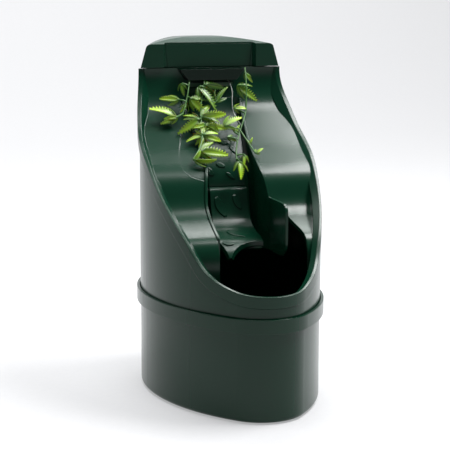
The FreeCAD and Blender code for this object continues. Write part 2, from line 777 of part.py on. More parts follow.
# impeller on its fixed shaft, at the chamber's closed end
chamber_back = pump_front - dim("pump_bore_depth")
shaft = bound("Cylinder", "impeller_shaft", place(0, chamber_back, pump_mid), to_front,
              Radius=cell("shaft_radius"), Height=cell("shaft_length"))
finished("impeller_shaft", shaft)
rotor_gap = 1.0
blade_count, blade_thick = 6, 1.2
rotor = bound("Cylinder", "rotor_magnet", place(0, chamber_back + rotor_gap, pump_mid), to_front,
              Radius=cell("impeller_radius"), Height=cell("impeller_length"))
blades_back = chamber_back + rotor_gap + dim("impeller_length")
blades = []
for index in range(blade_count):
    turn = FreeCAD.Rotation(FreeCAD.Vector(0, 1, 0), 360 * index / blade_count)
    corner = turn.multVec(FreeCAD.Vector(0, -dim("blade_length"), -blade_thick / 2))
    blades.append(bound("Box", f"blade_{index}", place(0, blades_back, pump_mid) + corner, turn,
                        Length=cell("impeller_radius"), Width=f"{cell('blade_length')} + 0.5",
                        Height=f"{blade_thick}"))
wheel = doc.addObject("Part::MultiFuse", "wheel")
wheel.Shapes = [rotor] + blades
rotor_bore = bound("Cylinder", "rotor_bore", place(0, chamber_back, pump_mid), to_front,
                   Radius=f"{cell('shaft_radius')} + {cell('fit_running')}",
                   Height=cell("shaft_length"))
carved("impeller", wheel, rotor_bore)

# suction cups between the pump and the tub's floor
cup_side = dim("pump_width") / 2 - dim("cup_radius") - 0.5
cup_rows = (("front", pump_front - dim("cup_radius") - 0.5),
            ("back", pump_back + dim("cup_radius") + 0.5))
for row_name, cup_forward in cup_rows:
    for side_name, sign in (("left", -1), ("right", 1)):
        revolved(f"suction_cup_{row_name}_{side_name}",
                 place(sign * cup_side, cup_forward, tub_base + dim("tub_floor")), [
                     ("0", "1.2"),
                     (f"{cell('cup_radius')} - 0.8", "0"),
                     (cell("cup_radius"), "0.4"),
                     ("2.6", "2.6"),
                     ("2.6", cell("pump_lift")),
                     ("0", cell("pump_lift"))])

# cable grommet in the housing's back wall; local +Z looks to the back
grommet_back = -dim("back_depth") - housing_outer
neck = f"{cell('grommet_radius')} - {cell('fit_running')}"
flange = f"{cell('grommet_radius')} + 2"
inner_flange_gap = 1.0
neck_length = f"{cell('housing_wall')} + {inner_flange_gap}"
revolved("cable_grommet", place(0, grommet_back, dim("grommet_height")), [
    (cell("grommet_bore"), f"-({neck_length}) - {cell('grommet_flange')}"),
    (flange, f"-({neck_length}) - {cell('grommet_flange')}"),
    (flange, f"-({neck_length})"),
    (neck, f"-({neck_length})"),
    (neck, "0.02"),
    (flange, "0.02"),
    (flange, f"{cell('grommet_flange')} - 0.4"),
    (f"{flange} - 0.4", cell("grommet_flange")),
    (cell("grommet_bore"), cell("grommet_flange"))],
    FreeCAD.Rotation(FreeCAD.Vector(1, 0, 0), -90))

# ---------------------------------------------------------------- artificial plant

# Each stem hangs from the clip through (x, forward, height) points.
STEMS = {
    "left": [(-11, -33.4, 167), (-16, -27, 161), (-20, -21, 152)],
    "middle": [(-2, -33.4, 167), (-6, -27, 161), (-9, -19, 152.5), (-10.5, -11, 143.5)],
    "right": [(9, -33.4, 167), (15, -26, 160), (13.5, -18, 151), (10.5, -10, 142.5)],
}
# Each leaf lies between its root and its tip, both (x, forward, height).
LEAVES = {
    "left": [((-20, -26, 160.5), (-31, -26.5, 161.5)), ((-22.5, -20, 153), (-37, -22, 157)),
             ((-22, -18, 148.5), (-31.5, -17, 147.5)), ((-16, -24.5, 160), (-10.8, -21.5, 156)),
             ((-18, -29.5, 170), (-19, -26.5, 164))],
    "middle": [((-5.5, -23, 156.5), (5, -20, 154.5)), ((-7, -16, 149.5), (3, -14, 147)),
               ((-12, -17.5, 150.5), (-19, -17, 146)), ((-10.5, -8.5, 141), (-17, -6.5, 136.5)),
               ((-9, -8.5, 141), (-1.5, -7, 138)), ((-11, -6, 136), (0, -3.5, 133))],
    "right": [((16.5, -25.5, 160.5), (25, -22.5, 157.5)), ((11.5, -20, 155), (5.5, -21, 158.5)),
              ((10.4, -14.8, 148.8), (4, -12.5, 145)), ((12.5, -11, 144), (17, -9, 142.5)),
              ((10.5, -7.5, 140.5), (10, -1, 134))],
}
clip_low, clip_high = 166.4, 168.6
feature("plant_clip", box(-13, 13, -35.8, -34.5, clip_low, clip_high))


def tube_chain(places, radius):
    """A stem: straight runs with round knuckles."""
    parts = [Part.makeSphere(radius, spot) for spot in places[1:]]
    for start, stop in zip(places, places[1:]):
        run = stop - start
        parts.append(Part.makeCylinder(radius, run.Length, start, run))
    return parts[0].fuse(parts[1:])


def leaf_blade(root, tip):
    """A lens-shaped blade from root to tip that faces up and to the front."""
    run = tip - root
    run_way = FreeCAD.Vector(run).normalize()
    side = run_way.cross(FreeCAD.Vector(0, -1, 0.6)).normalize()
    face_way = side.cross(run_way).normalize()
    middle = root + run * 0.5
    half = dim("leaf_width") / 2
    sides = [Part.Arc(root, middle + side * (sign * half), tip).toShape() for sign in (1, -1)]
    outline = Part.Wire(Part.__sortEdges__(sides))
    return Part.Face(outline).extrude(face_way * dim("leaf_thick"))


for stem_name, stem_points in STEMS.items():
    stem_places = [place(*spot) for spot in stem_points]
    feature(f"vine_stem_{stem_name}", tube_chain(stem_places, dim("stem_radius")))
    blades = [leaf_blade(place(*root), place(*tip)) for root, tip in LEAVES[stem_name]]
    feature(f"vine_leaves_{stem_name}", Part.makeCompound(blades))

# ---------------------------------------------------------------- checks and export

doc.recompute()
for item in doc.Objects:
    if {"Invalid", "Error"} & set(item.State):
        raise RuntimeError(f"{item.Label} failed: {item.State}")
os.makedirs("parts", exist_ok=True)
for piece in pieces:
    shape = piece.Shape
    if shape.isNull() or not shape.isValid():
        raise RuntimeError(f"{piece.Label} has no valid shape")
    shape.exportStep(f"parts/{piece.Label}.step")
    bounds = shape.BoundBox
    print(f"{piece.Label:26s} solids {len(shape.Solids):2d} volume {shape.Volume:10.1f} "
          f"x {bounds.XMin:7.1f} {bounds.XMax:7.1f} y {bounds.YMin:7.1f} {bounds.YMax:7.1f} "
          f"z {bounds.ZMin:7.1f} {bounds.ZMax:7.1f}")
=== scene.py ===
import math

import bmesh
import bpy
from bpy.props import FloatProperty, FloatVectorProperty, IntProperty, PointerProperty
from mathutils import Matrix, Vector
from mathutils.bvhtree import BVHTree


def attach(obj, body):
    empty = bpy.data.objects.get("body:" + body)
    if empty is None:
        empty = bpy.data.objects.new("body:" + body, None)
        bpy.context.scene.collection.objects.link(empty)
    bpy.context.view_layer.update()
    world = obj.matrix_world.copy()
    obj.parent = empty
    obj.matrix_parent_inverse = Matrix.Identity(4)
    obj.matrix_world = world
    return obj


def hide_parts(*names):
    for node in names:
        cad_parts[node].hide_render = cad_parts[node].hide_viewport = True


bl_info = {
    "name": "Terrarium Waterfall",
    "version": (1, 0, 0),
    "blender": (4, 5, 0),
    "location": "View3D > Sidebar > Waterfall",
    "description": "Finishes, vine and studio for a pump-fed table-top drinking waterfall",
    "category": "Object",
}

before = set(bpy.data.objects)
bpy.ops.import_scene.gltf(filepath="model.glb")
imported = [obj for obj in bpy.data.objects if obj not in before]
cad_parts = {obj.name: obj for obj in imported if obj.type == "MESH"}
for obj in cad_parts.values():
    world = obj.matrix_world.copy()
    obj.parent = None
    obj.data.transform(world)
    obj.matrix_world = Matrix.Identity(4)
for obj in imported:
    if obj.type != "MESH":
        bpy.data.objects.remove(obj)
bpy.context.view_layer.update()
MM = 0.001

# Distances "forward" are measured towards the bowl from the plan's widest section.
WIDEST_Y = 0.00375


def spot(x, forward, height):
    """A place in metres from millimetres across, forward of the widest section, and up."""
    return Vector((x * MM, WIDEST_Y - forward * MM, height * MM))


# ---------------------------------------------------------------- settings


class WaterfallPlastic(bpy.types.PropertyGroup):
    body_colour: FloatVectorProperty(
        name="Body colour", description="Pigment of the moulded green shells",
        subtype="COLOR", size=4, min=0, max=1, default=(0.0010, 0.0215, 0.0100, 1))
    body_tint: FloatVectorProperty(
        name="Body tint", description="Pigment where the moulding runs slightly paler",
        subtype="COLOR", size=4, min=0, max=1, default=(0.0018, 0.0290, 0.0145, 1))
    gloss_roughness: FloatProperty(
        name="Gloss roughness", description="Roughness of the polished green plastic",
        subtype="FACTOR", min=0, max=1, default=0.2)
    edge_radius: FloatProperty(
        name="Edge radius", description="Softness of the moulded edges",
        subtype="DISTANCE", min=0, default=0.0005)


class WaterfallVine(bpy.types.PropertyGroup):
    leaf_young: FloatVectorProperty(
        name="Young leaf", description="Colour of the leaf tips",
        subtype="COLOR", size=4, min=0, max=1, default=(0.46, 0.72, 0.02, 1))
    leaf_old: FloatVectorProperty(
        name="Old leaf", description="Colour near the leaf stalk",
        subtype="COLOR", size=4, min=0, max=1, default=(0.012, 0.075, 0.008, 1))
    leaf_width: FloatProperty(
        name="Leaf width", description="Width of a leaf as a share of its length",
        subtype="FACTOR", min=0.1, max=1, default=0.36)
    leaf_teeth: IntProperty(
        name="Teeth", description="Points along each edge of a leaf", min=3, max=14, default=10)
    stem_radius: FloatProperty(
        name="Stem radius", description="Half the thickness of the vine's stems",
        subtype="DISTANCE", min=0.0001, default=0.00042)
    seed: IntProperty(name="Seed", description="Fixes the small turns of the leaves", default=7)


class WaterfallStage(bpy.types.PropertyGroup):
    lens: FloatProperty(
        name="Lens", description="Focal length of the camera", min=10, default=120,
        unit="CAMERA")
    camera_place: FloatVectorProperty(
        name="Camera place", description="Where the camera stands", subtype="TRANSLATION",
        unit="LENGTH", size=3, default=(-0.2494, -0.7845, 0.2327))
    camera_target: FloatVectorProperty(
        name="Camera target", description="What the camera looks at", subtype="TRANSLATION",
        unit="LENGTH", size=3, default=(-0.0018, 0.0043, 0.0916))
    camera_roll: FloatProperty(
        name="Camera roll", description="Turn of the camera about its view", subtype="ANGLE",
        default=math.radians(0.2))


# ---------------------------------------------------------------- node helpers


def new_group(name, kind, inputs, outputs):
    """An empty node group of that kind with its sockets; returns the tree and its two ends."""
    tree = bpy.data.node_groups.new(name, kind)
    for title, socket, value in inputs:
        item = tree.interface.new_socket(title, in_out="INPUT", socket_type=socket)
        if value is not None:
            item.default_value = value
    for title, socket in outputs:
        tree.interface.new_socket(title, in_out="OUTPUT", socket_type=socket)
    return tree, tree.nodes.new("NodeGroupInput"), tree.nodes.new("NodeGroupOutput")


def put(tree, kind, values=None, **attributes):
    """A node with its attributes and socket values set."""
    node = tree.nodes.new(kind)
    for key, value in attributes.items():
        setattr(node, key, value)
    for key, value in (values or {}).items():
        node.inputs[key].default_value = value
    return node


def moulding_group():
    """Flow marks, faint ripple and fine scuffs of polished injection-moulded plastic."""
    tree, start, end = new_group(
        "Moulded plastic", "ShaderNodeTree",
        [("Flow scale", "NodeSocketFloat", 14.0), ("Scuff scale", "NodeSocketFloat", 700.0),
         ("Gloss", "NodeSocketFloat", 0.12), ("Scuff depth", "NodeSocketFloat", 0.05)],
        [("Flow", "NodeSocketFloat"), ("Roughness", "NodeSocketFloat"),
         ("Ripple", "NodeSocketFloat")])
    place = put(tree, "ShaderNodeTexCoord")
    link = tree.links.new
    flow = put(tree, "ShaderNodeTexNoise", {"Detail": 3.0, "Roughness": 0.45})
    link(place.outputs["Object"], flow.inputs["Vector"])
    link(start.outputs["Flow scale"], flow.inputs["Scale"])
    stretch = put(tree, "ShaderNodeMapping", {"Scale": (1.0, 0.35, 3.0)})
    link(place.outputs["Object"], stretch.inputs["Vector"])
    scuff = put(tree, "ShaderNodeTexNoise", {"Detail": 6.0, "Roughness": 0.7})
    link(stretch.outputs["Vector"], scuff.inputs["Vector"])
    link(start.outputs["Scuff scale"], scuff.inputs["Scale"])
    scuff_depth = put(tree, "ShaderNodeMath", operation="MULTIPLY")
    link(scuff.outputs["Fac"], scuff_depth.inputs[0])
    link(start.outputs["Scuff depth"], scuff_depth.inputs[1])
    rough = put(tree, "ShaderNodeMath", operation="ADD")
    link(start.outputs["Gloss"], rough.inputs[0])
    link(scuff_depth.outputs["Value"], rough.inputs[1])
    ripple = put(tree, "ShaderNodeTexNoise", {"Detail": 2.0})
    ripple_scale = put(tree, "ShaderNodeMath", {1: 5.0}, operation="MULTIPLY")
    link(start.outputs["Flow scale"], ripple_scale.inputs[0])
    link(ripple_scale.outputs["Value"], ripple.inputs["Scale"])
    link(place.outputs["Object"], ripple.inputs["Vector"])
    link(flow.outputs["Fac"], end.inputs["Flow"])
    link(rough.outputs["Value"], end.inputs["Roughness"])
    link(ripple.outputs["Fac"], end.inputs["Ripple"])
    return tree


def speckle_group():
    """Dust and pores: a mask of fine irregular spots."""
    tree, start, end = new_group(
        "Fine speckle", "ShaderNodeTree",
        [("Scale", "NodeSocketFloat", 900.0), ("Amount", "NodeSocketFloat", 0.5)],
        [("Mask", "NodeSocketFloat")])
    place = put(tree, "ShaderNodeTexCoord")
    cells = put(tree, "ShaderNodeTexVoronoi")
    link = tree.links.new
    link(place.outputs["Object"], cells.inputs["Vector"])
    link(start.outputs["Scale"], cells.inputs["Scale"])
    cut = put(tree, "ShaderNodeMapRange", {"From Min": 0.1, "To Min": 1.0, "To Max": 0.0})
    link(cells.outputs["Distance"], cut.inputs["Value"])
    link(start.outputs["Amount"], cut.inputs["From Max"])
    link(cut.outputs["Result"], end.inputs["Mask"])
    return tree


GROUPS = {"Moulded plastic": moulding_group, "Fine speckle": speckle_group}
# The mix node's sockets for colours, which share their names with those for numbers.
COLOUR_A, COLOUR_B, COLOUR_RESULT = 6, 7, 2


def group_node(tree, name, **values):
    """A shared group placed in a material, built the first time that it is asked for."""
    group = bpy.data.node_groups.get(name) or GROUPS[name]()
    node = tree.nodes.new("ShaderNodeGroup")
    node.node_tree = group
    for key, value in values.items():
        node.inputs[key.replace("_", " ").capitalize()].default_value = value
    return node


def new_material(name):
    """A material with its node tree and its shader."""
    material = bpy.data.materials.new(name)
    material.use_nodes = True
    return material, material.node_tree, material.node_tree.nodes["Principled BSDF"]


def bump(tree, height, shader, strength, distance, edge_radius=0.0):
    """Feeds a height to the shader's normal, over rounded edges where a radius is given."""
    node = put(tree, "ShaderNodeBump", {"Strength": strength, "Distance": distance})
    tree.links.new(height, node.inputs["Height"])
    if edge_radius:
        rounding = put(tree, "ShaderNodeBevel", {"Radius": edge_radius}, samples=6)
        tree.links.new(rounding.outputs["Normal"], node.inputs["Normal"])
    tree.links.new(node.outputs["Normal"], shader.inputs["Normal"])


def two_tone(tree, factor, low, high, shader):
    """Mixes two colours by a varying value into the shader's base colour."""
    mix = put(tree, "ShaderNodeMix", {COLOUR_A: low, COLOUR_B: high}, data_type="RGBA")
    tree.links.new(factor, mix.inputs["Factor"])
    tree.links.new(mix.outputs[COLOUR_RESULT], shader.inputs["Base Color"])


# ---------------------------------------------------------------- materials


def glossy_green(name="glossy_green", shade_scale=1.0):
    """Polished dark green plastic; the last argument scales its pigment, and below 1 it darkens it
    as painted shade.
    """
    plastic = bpy.context.scene.waterfall_plastic
    material, tree, shader = new_material(name)
    skin = group_node(tree, "Moulded plastic", gloss=plastic.gloss_roughness)
    low = tuple(c * shade_scale for c in plastic.body_colour[:3]) + (1,)
    high = tuple(c * shade_scale for c in plastic.body_tint[:3]) + (1,)
    two_tone(tree, skin.outputs["Flow"], low, high, shader)
    tree.links.new(skin.outputs["Roughness"], shader.inputs["Roughness"])
    bump(tree, skin.outputs["Ripple"], shader, 0.12, 0.0003, plastic.edge_radius)
    shader.inputs["IOR"].default_value = 1.36
    return material


def satin(name, low, high, gloss, scale=700.0, depth=0.15, edge=0.0003):
    """Satin or matt moulded plastic or rubber in two close tones."""
    material, tree, shader = new_material(name)
    skin = group_node(tree, "Moulded plastic", gloss=gloss, scuff_scale=scale, scuff_depth=depth)
    two_tone(tree, skin.outputs["Flow"], low + (1,), high + (1,), shader)
    tree.links.new(skin.outputs["Roughness"], shader.inputs["Roughness"])
    bump(tree, skin.outputs["Ripple"], shader, 0.15, 0.0003, edge)
    return material


def foam():
    """Open-cell black filter foam."""
    material, tree, shader = new_material("filter_foam")
    pores = group_node(tree, "Fine speckle", scale=1400.0, amount=0.6)
    two_tone(tree, pores.outputs["Mask"], (0.03, 0.03, 0.035, 1), (0.004, 0.004, 0.005, 1), shader)
    shader.inputs["Roughness"].default_value = 0.95
    bump(tree, pores.outputs["Mask"], shader, 0.8, 0.0006)
    return material


def clear_tube():
    """Milky see-through tube."""
    material, tree, shader = new_material("clear_tube")
    skin = group_node(tree, "Moulded plastic", gloss=0.18, scuff_depth=0.1)
    two_tone(tree, skin.outputs["Flow"], (0.62, 0.7, 0.66, 1), (0.75, 0.8, 0.77, 1), shader)
    tree.links.new(skin.outputs["Roughness"], shader.inputs["Roughness"])
    shader.inputs["Alpha"].default_value = 0.55
    shader.inputs["IOR"].default_value = 1.42
    return material


def leaf_plastic():
    """Soft plastic leaf: dark at the stalk, yellow-green at the points, paler along the veins."""
    vine = bpy.context.scene.waterfall_vine
    material, tree, shader = new_material("leaf_plastic")
    link = tree.links.new
    along = put(tree, "ShaderNodeAttribute", attribute_name="along")
    shade = put(tree, "ShaderNodeAttribute", attribute_name="shade")
    rib = put(tree, "ShaderNodeAttribute", attribute_name="rib")
    # The per-leaf shade value mixes each leaf's youth with painted shade, so leaves under the
    # spout and behind others stay dark.
    age_and_shade = put(tree, "ShaderNodeMath", operation="MULTIPLY")
    link(along.outputs["Fac"], age_and_shade.inputs[0])
    link(shade.outputs["Fac"], age_and_shade.inputs[1])
    vein = put(tree, "ShaderNodeMath", {1: 0.18}, operation="MULTIPLY_ADD")
    link(rib.outputs["Fac"], vein.inputs[0])
    link(age_and_shade.outputs["Value"], vein.inputs[2])
    two_tone(tree, vein.outputs["Value"], tuple(vine.leaf_old), tuple(vine.leaf_young), shader)
    skin = group_node(tree, "Moulded plastic", flow_scale=120.0, gloss=0.28, scuff_depth=0.15)
    link(skin.outputs["Roughness"], shader.inputs["Roughness"])
    bump(tree, skin.outputs["Ripple"], shader, 0.3, 0.0002)
    shader.inputs["Subsurface Weight"].default_value = 0.12
    shader.inputs["Subsurface Scale"].default_value = 0.001
    return material


def assign(material, *nodes):
    """Gives CAD nodes a material in place of their own."""
    for node in nodes:
        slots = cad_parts[node].data.materials
        slots.clear()
        slots.append(material)


# ---------------------------------------------------------------- mesh helpers


def shade_smooth(mesh):
    for face in mesh.polygons:
        face.use_smooth = True


def mesh_piece(name, work, material):
    """A finished, smooth-shaded mesh object from a bmesh, at the origin."""
    bmesh.ops.recalc_face_normals(work, faces=work.faces)
    mesh = bpy.data.meshes.new(name)
    work.to_mesh(mesh)
    work.free()
    shade_smooth(mesh)
    mesh.materials.append(material)
    piece = bpy.data.objects.new(name, mesh)
    bpy.context.scene.collection.objects.link(piece)
    return piece


def node_surface(*names):
    """A ray-castable copy of CAD nodes' surfaces."""
    vertices, faces = [], []
    for name in names:
        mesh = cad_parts[name].data
        base = len(vertices)
        vertices += [v.co.copy() for v in mesh.vertices]
        faces += [[base + i for i in p.vertices] for p in mesh.polygons]
    return BVHTree.FromPolygons(vertices, faces)


def made_solid(source, name):
    """The evaluated result of an object's modifiers as a plain mesh of its own."""
    graph = bpy.context.evaluated_depsgraph_get()
    mesh = bpy.data.meshes.new_from_object(source.evaluated_get(graph))
    mesh.name = name
    piece = bpy.data.objects.new(name, mesh)
    bpy.context.scene.collection.objects.link(piece)
    old = source.data
    bpy.data.objects.remove(source)
    if old.users == 0 and isinstance(old, bpy.types.Mesh):
        bpy.data.meshes.remove(old)
    return piece


# ---------------------------------------------------------------- vine

# Each leaf: stalk end and tip (mm across, forward, up), how light it is, partly from its youth and
# partly painted shade (lowest for the leaves under the spout), and how it rolls.
LEAVES = (
    ((-21, -26, 160), (-32, -27, 161), 0.8, -15), ((-24, -20, 151), (-39, -22, 157), 0.95, 10),
    ((-24, -18, 151), (-32, -18, 150), 0.75, -20), ((-19, -30, 169), (-18, -27, 162), 0.15, 30),
    ((-15, -26, 161), (-6, -19, 153), 0.7, 25), ((-9, -29, 167), (-1, -22, 154), 0.12, -20),
    ((-5, -29, 168), (6, -28, 165), 0.05, 40), ((0, -24, 158), (7, -27, 167), 0.1, -35),
    ((-11, -18, 151), (5, -18, 152), 0.85, 30), ((-9, -15, 146), (4, -14, 145), 0.9, 20),
    ((1, -13, 146), (13, -14, 149.5), 0.85, -10), ((-12, -17, 150), (-20, -19, 153), 0.55, 35),
    ((-12, -16, 150), (-25, -12, 143), 0.65, -30), ((-12, -9, 141), (-12, -13, 148), 0.95, 10),
    ((-12, -9, 141), (-22, -9, 140), 0.75, 25), ((-12, -9, 141), (-15, -5, 135), 0.9, -15),
    ((-12, -9, 141), (-2, -8, 137), 0.9, 20), ((-12, -9, 142), (-3, -10, 142), 0.8, -25),
    ((-17, -1, 133.5), (0, 1, 131.5), 0.7, 15), ((-22, 5.5, 129.5), (-9, 6, 128.5), 0.8, 75),
    ((14, -29, 167), (25, -24.5, 159), 0.45, 20), ((9, -20, 155), (16.5, -19.5, 155), 0.95, 0),
    ((7, -11, 142), (10.5, -13, 146.5), 0.7, 20), ((13, -4, 136), (16, -5, 139.5), 0.75, 30),
    ((15, 2, 131.5), (19.5, 1, 134.5), 1.0, 0), ((9.5, 0, 131), (8, 3.5, 125.5), 0.8, 25),
    ((5.5, 2, 128), (4.5, 8, 118.5), 0.95, -5), ((19, -31, 174), (23, -28, 169), 0.3, 25),
    ((-17, -25, 158), (-21, -21, 153), 0.35, -40), ((-6, -17, 150), (-2, -12, 143), 0.5, 35),
    ((-9, -14, 147), (-17, -10, 145), 0.6, -20), ((2, -9, 140), (8, -8, 138), 0.35, 40),
)
# The stems' routes from behind the spout, in the same terms.
STEMS = (
    ((20, -33, 177), (19, -27, 169), (18, -24, 161), (16.5, -20, 153), (14, -16, 149),
     (9, -10, 141), (5, -3, 132), (4.5, 1, 128)),
    ((-13, -33, 172), (-15, -28, 166), (-17, -25, 160), (-21, -20, 151.5)),
    ((-4, -33, 172), (-6, -28, 166), (-9, -24, 158), (-11, -18, 150.5), (-12, -10, 142.5),
     (-16, -1, 134.5), (-22, 5, 130)),
    ((10, -12, 144), (13, -5, 137), (15, 1.5, 132)),
)
WIRE_RADIUS = 0.00028
WIRE = ((10, -33, 170), (11.5, -29, 165), (9, -23, 158), (8.5, -18, 151.5), (11, -12, 146))


def leaf_mesh(width, teeth):
    """One leaf of unit length along +X, toothed, folded along its midrib and slightly arched."""
    thick, fold, arch, tooth = 0.035, 0.45, 0.3, 0.6
    columns = (-1.0, -0.38, 0.0, 0.38, 1.0)
    count = 2 * teeth
    work = bmesh.new()
    along = work.verts.layers.float.new("along")
    rib = work.verts.layers.float.new("rib")

    def vertex(t, s, side):
        half = 0.5 * width * math.sin(math.pi * t ** 0.72) ** 0.7 + 0.012
        comb = 1.0 if round(t * count) % 2 else 1.0 - tooth
        reach = half * s * (comb if abs(s) == 1 else 1)
        lead = 0.55 / teeth * (abs(s) == 1) * (comb == 1.0) * (0 < t < 1)
        height = fold * abs(reach) - arch * (t - 0.35) ** 2 + side * thick * (1 - 0.5 * abs(s))
        vert = work.verts.new((min(1.0, t + lead), reach, height))
        vert[along] = t * (0.75 + 0.25 * abs(s))
        vert[rib] = 1.0 if s == 0 else (0.5 if abs(s) == 1 else 0.0)
        return vert

    rows = []
    for i in range(count + 1):
        t = i / count
        top = [vertex(t, s, 0.5) for s in columns]
        under = [vertex(t, s, -0.5) for s in reversed(columns)]
        rows.append(top + under)
    size = len(rows[0])
    for low, high in zip(rows, rows[1:]):
        for k in range(size):
            work.faces.new((low[k], low[(k + 1) % size], high[(k + 1) % size], high[k]))
    work.faces.new(rows[0])
    work.faces.new(list(reversed(rows[-1])))
    bmesh.ops.recalc_face_normals(work, faces=work.faces)
    mesh = bpy.data.meshes.new("leaf")
    work.to_mesh(mesh)
    work.free()
    shade_smooth(mesh)
    return mesh


# Side leaves: how far each leans (degrees), its length as a share of the main one's, and the share
# of the main one's lightness that it keeps, which darkens it as painted shade.
SIDE_LEAVES = ((42, 0.68, 0.45), (-36, 0.6, 0.25))


def sprays():
    """Every leaf with a shorter one spread out to each side of it, darker as painted shade."""
    grown = []
    for root, tip, youth_and_shade, roll in LEAVES:
        start, run = spot(*root), spot(*tip) - spot(*root)
        out = Vector((0.0, -0.8, 0.6)).normalized()
        grown.append((start, run, youth_and_shade, roll))
        for lean, share, shade in SIDE_LEAVES:
            turned = Matrix.Rotation(math.radians(lean), 3, out) @ run
            grown.append((start, turned * share - out * 0.0008, youth_and_shade * shade, roll - lean))
    return grown


def leaf_cloud():
    """A point for each leaf, with its turn, its size and its shade as attributes."""
    leaves = sprays()
    mesh = bpy.data.meshes.new("leaf_points")
    mesh.from_pydata([start for start, _, _, _ in leaves], [], [])
    for name, kind in (("turn", "FLOAT_VECTOR"), ("size", "FLOAT"), ("shade", "FLOAT")):
        mesh.attributes.new(name, kind, "POINT")
    for index, (_, run, youth_and_shade, roll) in enumerate(leaves):
        forward = run.normalized()
        out = Vector((0.0, -0.8, 0.6))
        side = out.cross(forward).normalized()
        up = forward.cross(side)
        frame_matrix = Matrix((forward, side, up)).transposed()
        rolled = frame_matrix @ Matrix.Rotation(math.radians(roll), 3, "X")
        mesh.attributes["turn"].data[index].vector = rolled.to_euler()
        mesh.attributes["size"].data[index].value = run.length
        mesh.attributes["shade"].data[index].value = youth_and_shade
    return mesh


def scatter_tree():
    """Sets a leaf on every point, turned and sized by the point's attributes."""
    tree, start, end = new_group(
        "Set leaves", "GeometryNodeTree",
        [("Points", "NodeSocketGeometry", None), ("Leaf", "NodeSocketObject", None),
         ("Leaf scale", "NodeSocketFloat", None), ("Unevenness", "NodeSocketFloat", None),
         ("Seed", "NodeSocketInt", None), ("Material", "NodeSocketMaterial", None)],
        [("Leaves", "NodeSocketGeometry")])
    link = tree.links.new
    leaf = put(tree, "GeometryNodeObjectInfo")
    link(start.outputs["Leaf"], leaf.inputs["Object"])
    turn = put(tree, "GeometryNodeInputNamedAttribute", {"Name": "turn"}, data_type="FLOAT_VECTOR")
    size = put(tree, "GeometryNodeInputNamedAttribute", {"Name": "size"}, data_type="FLOAT")
    wobble = put(tree, "FunctionNodeRandomValue", data_type="FLOAT_VECTOR")
    low = put(tree, "ShaderNodeVectorMath", {1: (-1, -1, -1)}, operation="MULTIPLY")
    spread = put(tree, "ShaderNodeCombineXYZ")
    for axis in "XYZ":
        link(start.outputs["Unevenness"], spread.inputs[axis])
    link(spread.outputs["Vector"], low.inputs[0])
    link(low.outputs["Vector"], wobble.inputs["Min"])
    link(spread.outputs["Vector"], wobble.inputs["Max"])
    link(start.outputs["Seed"], wobble.inputs["Seed"])
    add = put(tree, "ShaderNodeVectorMath", operation="ADD")
    link(turn.outputs["Attribute"], add.inputs[0])
    link(wobble.outputs["Value"], add.inputs[1])
    rotation = put(tree, "FunctionNodeEulerToRotation")
    link(add.outputs["Vector"], rotation.inputs["Euler"])
    scale = put(tree, "ShaderNodeMath", operation="MULTIPLY")
    link(size.outputs["Attribute"], scale.inputs[0])
    link(start.outputs["Leaf scale"], scale.inputs[1])
    place = put(tree, "GeometryNodeInstanceOnPoints")
    link(start.outputs["Points"], place.inputs["Points"])
    link(leaf.outputs["Geometry"], place.inputs["Instance"])
    link(rotation.outputs["Rotation"], place.inputs["Rotation"])
    link(scale.outputs["Value"], place.inputs["Scale"])
    real = put(tree, "GeometryNodeRealizeInstances")
    link(place.outputs["Instances"], real.inputs["Geometry"])
    paint = put(tree, "GeometryNodeSetMaterial")
    link(real.outputs["Geometry"], paint.inputs["Geometry"])
    link(start.outputs["Material"], paint.inputs["Material"])
    link(paint.outputs["Geometry"], end.inputs["Leaves"])
    return tree


def cable_tree():
    """A round strand of even thickness along every curve."""
    tree, start, end = new_group(
        "Round strand", "GeometryNodeTree",
        [("Curves", "NodeSocketGeometry", None), ("Radius", "NodeSocketFloat", None),
         ("Sides", "NodeSocketInt", None), ("Steps", "NodeSocketInt", None),
         ("Material", "NodeSocketMaterial", None)],
        [("Strands", "NodeSocketGeometry")])
    link = tree.links.new
    even = put(tree, "GeometryNodeResampleCurve")
    link(start.outputs["Curves"], even.inputs["Curve"])
    link(start.outputs["Steps"], even.inputs["Count"])
    ring = put(tree, "GeometryNodeCurvePrimitiveCircle")
    link(start.outputs["Radius"], ring.inputs["Radius"])
    link(start.outputs["Sides"], ring.inputs["Resolution"])
    sweep = put(tree, "GeometryNodeCurveToMesh", {"Fill Caps": True})
    link(even.outputs["Curve"], sweep.inputs["Curve"])
    link(ring.outputs["Curve"], sweep.inputs["Profile Curve"])
    smooth = put(tree, "GeometryNodeSetShadeSmooth")
    link(sweep.outputs["Mesh"], smooth.inputs["Geometry"])
    real = put(tree, "GeometryNodeRealizeInstances")
    link(smooth.outputs["Geometry"], real.inputs["Geometry"])
    paint = put(tree, "GeometryNodeSetMaterial")
    link(real.outputs["Geometry"], paint.inputs["Geometry"])
    link(start.outputs["Material"], paint.inputs["Material"])
    link(paint.outputs["Geometry"], end.inputs["Strands"])
    return tree


def run_tree(piece, tree, **values):
    """Adds the tree as a modifier and sets its named inputs."""
    modifier = piece.modifiers.new(tree.name, "NODES")
    modifier.node_group = tree
    sockets = {item.name: item.identifier for item in tree.interface.items_tree
               if item.in_out == "INPUT"}
    for name, value in values.items():
        modifier[sockets[name.replace("_", " ").capitalize()]] = value


def smooth_curves(name, routes):
    """NURBS curves through each route of places."""
    data = bpy.data.curves.new(name, "CURVE")
    data.dimensions = "3D"
    for route in routes:
        spline = data.splines.new("NURBS")
        spline.points.add(len(route) - 1)
        for point, place in zip(spline.points, route):
            point.co = (*place, 1)
        spline.order_u = 3
        spline.use_endpoint_u = True
        spline.resolution_u = 12
    piece = bpy.data.objects.new(name, data)
    bpy.context.scene.collection.objects.link(piece)
    return piece


